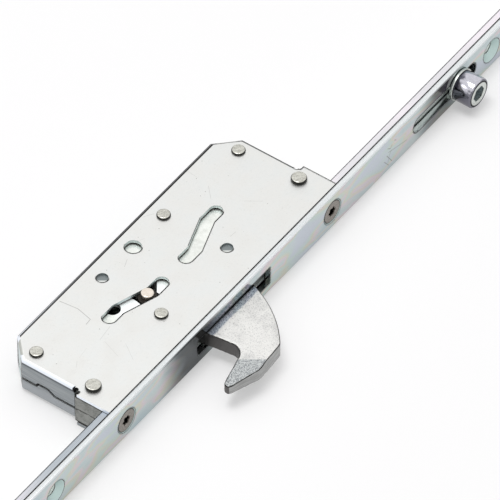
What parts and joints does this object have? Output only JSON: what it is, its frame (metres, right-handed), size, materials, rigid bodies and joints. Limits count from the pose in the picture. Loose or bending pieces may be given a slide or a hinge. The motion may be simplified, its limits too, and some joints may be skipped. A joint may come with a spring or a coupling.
{
  "type": "multipoint door lock station",
  "caption": "Swing-hook and roller station of a multipoint door lock: a sliding rail behind a narrow faceplate throws a cast hook from a riveted case.",
  "frame": {"origin": "on the faceplate's front face and mid width, midway between the two case screws, inside the hook opening", "axes": "+X up the door edge along the faceplate, +Y from the faceplate's front into the door, +Z square to the case cover"},
  "size_m": [0.33, 0.0731, 0.0169],
  "materials": {
    "zinc_faceplate": "bright zinc plate with a faint blue and pink cast",
    "zinc_rail": "zinc-plated strip, satin",
    "zinc_sheet": "zinc-coated pressed sheet, satin with fine scratches",
    "die_cast": "raw zinc die casting, dull grey",
    "stainless_screw": "stainless steel, satin",
    "rivet_steel": "peened steel, dull",
    "inner_steel": "turned steel",
    "cast_hook": "blasted and plated steel casting, grainy",
    "zinc_slider": "zinc-plated stamping",
    "pin_steel": "ground pin end with a warm tint",
    "dark_steel": "oiled dark steel",
    "stud_steel": "zinc-plated turned steel",
    "roller_chrome": "polished"
  },
  "bodies": {
    "case": {"faceplate": "zinc_faceplate", "upper_case_shell": "zinc_sheet", "lower_case_shell": "zinc_sheet", "lower_end_block": "die_cast", "upper_end_block": "die_cast", "case_screws": "stainless_screw", "end_block_rivets": "rivet_steel", "corner_rivets": "rivet_steel", "corner_spacers": "inner_steel", "guide_rivet": "rivet_steel", "guide_spacer": "inner_steel", "hook_pivot_rivet": "rivet_steel", "hook_pivot_sleeve": "inner_steel", "hook_washers": "inner_steel"},
    "rail": {"drive_rail": "zinc_rail", "upper_slider_plate": "zinc_slider", "lower_slider_plate": "zinc_slider", "driver_block": "inner_steel", "driver_rivets": "rivet_steel"},
    "hook": {"hook_bolt": "cast_hook"},
    "pin": {"drive_pin": "pin_steel", "pin_collars": "dark_steel"},
    "stud": {"roller_stud": "stud_steel"},
    "roller": {"roller_sleeve": "roller_chrome"}
  },
  "joints": [
    {"name": "rail_slide", "type": "slide", "parent": "case", "child": "rail", "axis": [1, 0, 0], "range_m": [-0.0151, 0.0029]},
    {"name": "hook_swing", "type": "hinge", "parent": "case", "child": "hook", "pos_m": [-0.019, 0.0152, 0], "axis": [0, 0, 1], "range_deg": [-16.2, 84.1]},
    {"name": "pin_slide", "type": "slide", "parent": "rail", "child": "pin", "axis": [0, 1, 0], "range_m": [-0.00084, 0.00433]},
    {"name": "stud_adjust", "type": "hinge", "parent": "rail", "child": "stud", "pos_m": [0.1337, 0, 0], "axis": [0, 1, 0], "continuous": true},
    {"name": "roller_spin", "type": "hinge", "parent": "stud", "child": "roller", "pos_m": [0.1347, 0, 0], "axis": [0, 1, 0], "continuous": true}
  ],
  "couplings": [
    {"joint": "hook_swing", "follows": "rail_slide", "rad_per_m": -97.091},
    {"joint": "pin_slide", "follows": "rail_slide", "ratio": -0.28611}
  ]
}
